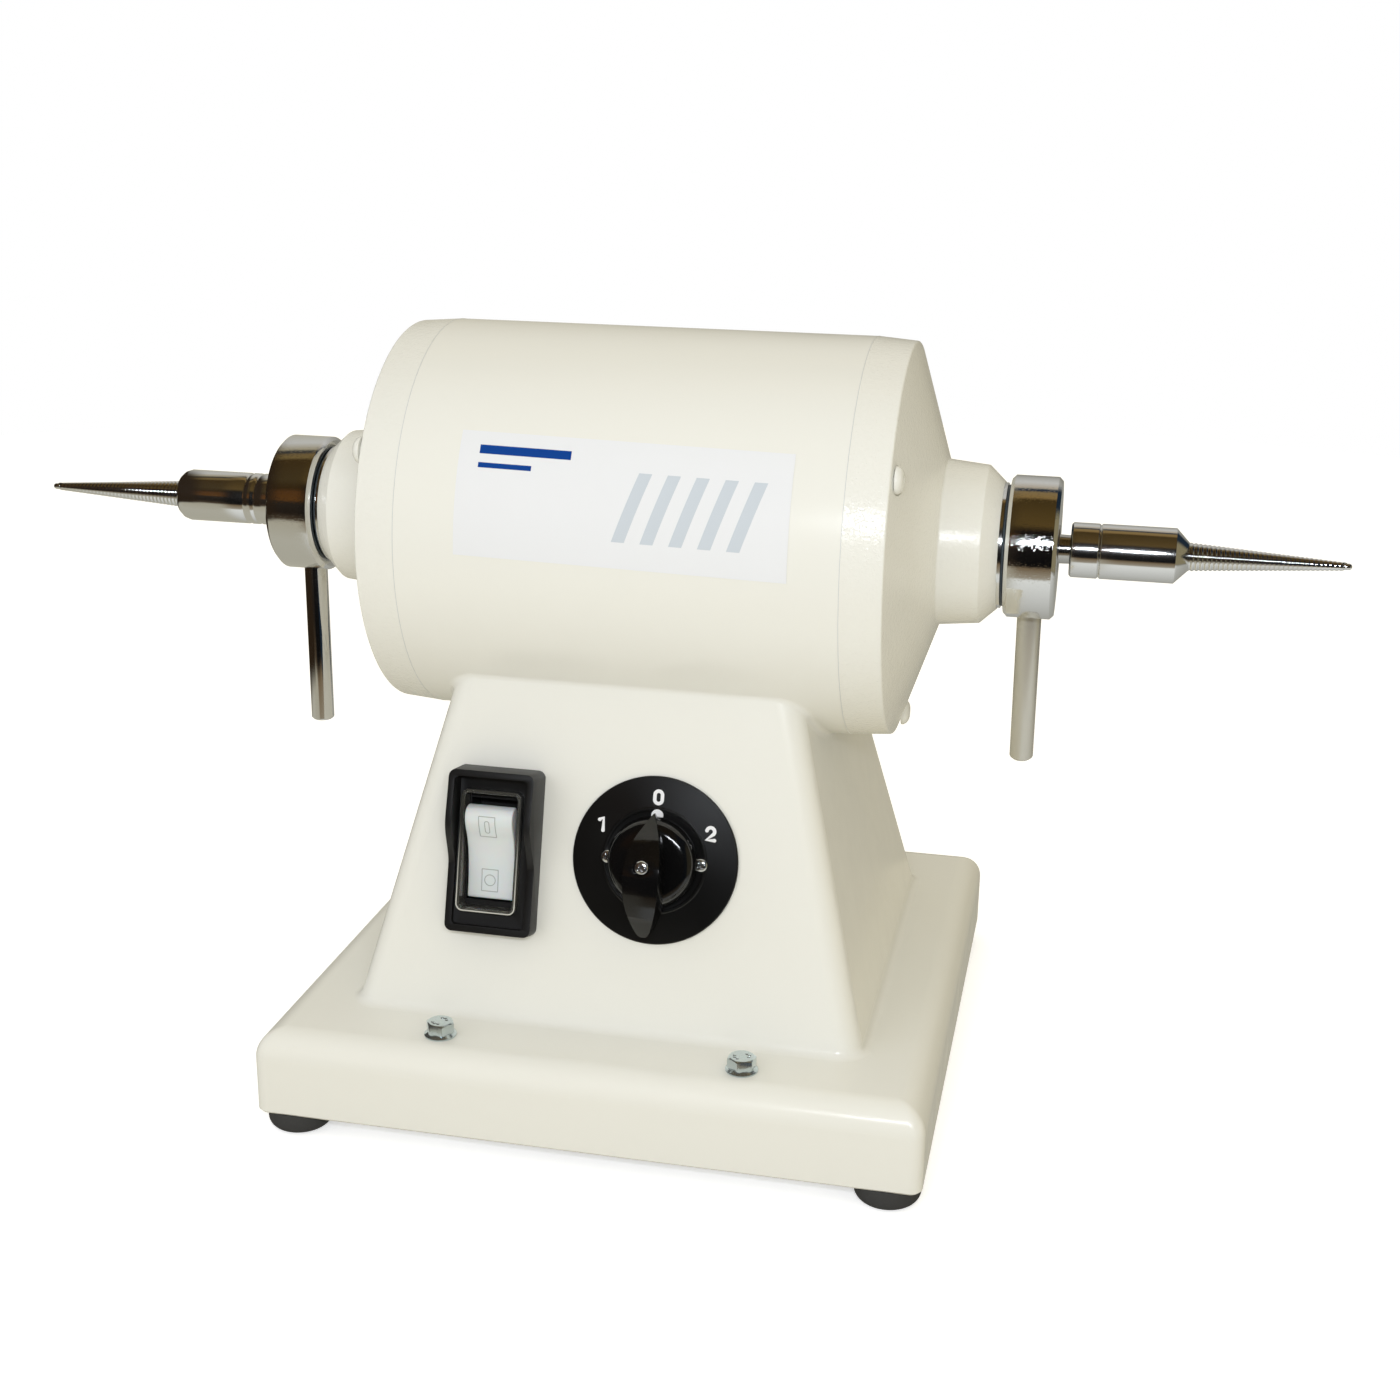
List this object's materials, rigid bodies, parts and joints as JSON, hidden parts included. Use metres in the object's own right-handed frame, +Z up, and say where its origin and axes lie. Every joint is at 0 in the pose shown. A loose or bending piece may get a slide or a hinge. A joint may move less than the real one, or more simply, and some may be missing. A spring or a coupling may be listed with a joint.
{
  "type": "polishing motor",
  "caption": "Bench polishing motor with a horizontal barrel on a tapered pedestal, twin tapered spindles with lever-released collars, a rocker switch and a rotary speed switch.",
  "frame": {"origin": "on the bench under the middle of the machine: middle of the overall box, at the feet's underside", "axes": "+X along the spindles to the right seen from the switches, +Y away from the switches, +Z up"},
  "size_m": [0.549, 0.262, 0.3085],
  "materials": {
    "cream_enamel": "gloss, slight orange peel",
    "chrome_plate": "bright plated",
    "turned_steel": "satin turned",
    "shaft_steel": "ground",
    "zinc_steel": "bright zinc",
    "bearing_steel": "polished",
    "spring_steel": "phosphated",
    "core_steel": "lacquered laminations",
    "copper_winding": "enamelled wire",
    "rotor_aluminium": "die cast",
    "black_gloss_plastic": "gloss",
    "black_matte_plastic": "fine matt grain",
    "black_dial": "satin black plate, white numerals",
    "clear_plastic": "clear",
    "white_plastic": "translucent white",
    "grey_plastic": "moulded",
    "ivory_plastic": "moulded",
    "cage_plastic": "moulded polyamide",
    "black_rubber": "matt",
    "capacitor_can": "white can",
    "galvanised_sheet": "zinc coated sheet"
  },
  "bodies": {
    "motor_body": {"motor_housing": "cream_enamel", "stator_core": "core_steel", "stator_windings": "copper_winding", "bearing_wave_spring": "spring_steel", "dial_plate": "black_dial", "dial_screws": "zinc_steel", "cam_switch_body": "grey_plastic", "rocker_bezel": "black_matte_plastic", "rocker_splash_frame": "clear_plastic", "rocker_switch_body": "black_matte_plastic", "rubber_feet": "black_rubber", "foot_screws": "zinc_steel", "bottom_cover": "galvanised_sheet", "base_bolts": "zinc_steel", "base_nuts": "zinc_steel", "run_capacitor": "capacitor_can", "capacitor_clip": "galvanised_sheet", "terminal_block": "ivory_plastic", "earth_screw": "zinc_steel", "cable_gland_body": "black_matte_plastic", "cable_gland_seal": "black_rubber", "cable_gland_nut": "black_matte_plastic", "cable_gland_locknut": "black_matte_plastic", "end_shield_left": "cream_enamel", "end_shield_screws_left": "cream_enamel", "bearing_outer_ring_left": "bearing_steel", "cam_sleeve_left": "chrome_plate", "sleeve_seal_left": "black_rubber", "end_shield_right": "cream_enamel", "end_shield_screws_right": "cream_enamel", "bearing_outer_ring_right": "bearing_steel", "cam_sleeve_right": "chrome_plate", "sleeve_seal_right": "black_rubber"},
    "rotor": {"motor_shaft": "shaft_steel", "rotor_core": "core_steel", "rotor_end_rings": "rotor_aluminium", "shaft_circlips": "spring_steel", "bearing_inner_ring_left": "bearing_steel", "bearing_inner_ring_right": "bearing_steel"},
    "left_bearing_cage": {"bearing_balls_left": "bearing_steel", "bearing_cage_left": "cage_plastic"},
    "left_ejector": {"ejector_disc_left": "turned_steel"},
    "left_release": {"release_ring_left": "chrome_plate", "release_lever_left": "chrome_plate"},
    "left_mandrel": {"polishing_mandrel_left": "chrome_plate"},
    "right_bearing_cage": {"bearing_balls_right": "bearing_steel", "bearing_cage_right": "cage_plastic"},
    "right_ejector": {"ejector_disc_right": "turned_steel"},
    "right_release": {"release_ring_right": "chrome_plate", "release_lever_right": "turned_steel"},
    "right_mandrel": {"polishing_mandrel_right": "chrome_plate"},
    "speed_knob": {"switch_knob": "black_gloss_plastic", "knob_screw": "zinc_steel", "switch_spindle": "zinc_steel"},
    "rocker": {"rocker": "white_plastic"}
  },
  "joints": [
    {"name": "rotor_spin", "type": "hinge", "parent": "motor_body", "child": "rotor", "pos_m": [0, 0, 0.2285], "axis": [1, 0, 0], "continuous": true},
    {"name": "left_bearing_turn", "type": "hinge", "parent": "motor_body", "child": "left_bearing_cage", "pos_m": [-0.124, 0, 0.2285], "axis": [1, 0, 0], "continuous": true},
    {"name": "left_ejector_slide", "type": "slide", "parent": "motor_body", "child": "left_ejector", "axis": [-1, 0, 0], "range_m": [0, 0.0041]},
    {"name": "left_release_turn", "type": "hinge", "parent": "left_ejector", "child": "left_release", "pos_m": [-0.1528, 0, 0.2285], "axis": [-1, 0, 0], "range_deg": [0, 60]},
    {"name": "left_mandrel_slide", "type": "slide", "parent": "rotor", "child": "left_mandrel", "axis": [-1, 0, 0], "range_m": [0, 0.045]},
    {"name": "right_bearing_turn", "type": "hinge", "parent": "motor_body", "child": "right_bearing_cage", "pos_m": [0.124, 0, 0.2285], "axis": [1, 0, 0], "continuous": true},
    {"name": "right_ejector_slide", "type": "slide", "parent": "motor_body", "child": "right_ejector", "axis": [1, 0, 0], "range_m": [0, 0.0041]},
    {"name": "right_release_turn", "type": "hinge", "parent": "right_ejector", "child": "right_release", "pos_m": [0.1528, 0, 0.2285], "axis": [-1, 0, 0], "range_deg": [0, 60]},
    {"name": "right_mandrel_slide", "type": "slide", "parent": "rotor", "child": "right_mandrel", "axis": [1, 0, 0], "range_m": [0, 0.045]},
    {"name": "speed_knob_turn", "type": "hinge", "parent": "motor_body", "child": "speed_knob", "pos_m": [0.0176, -0.08711, 0.11397], "axis": [0, -0.9681, 0.2504], "range_deg": [-60, 60]},
    {"name": "rocker_tilt", "type": "hinge", "parent": "motor_body", "child": "rocker", "pos_m": [-0.0482, -0.07792, 0.10953], "axis": [-1, 0, 0], "range_deg": [0, 20]}
  ],
  "couplings": [
    {"joint": "left_bearing_turn", "follows": "rotor_spin", "ratio": 0.3815},
    {"joint": "left_ejector_slide", "follows": "left_release_turn", "m_per_rad": 0.0039},
    {"joint": "right_bearing_turn", "follows": "rotor_spin", "ratio": 0.3815},
    {"joint": "right_ejector_slide", "follows": "right_release_turn", "m_per_rad": 0.0039}
  ]
}
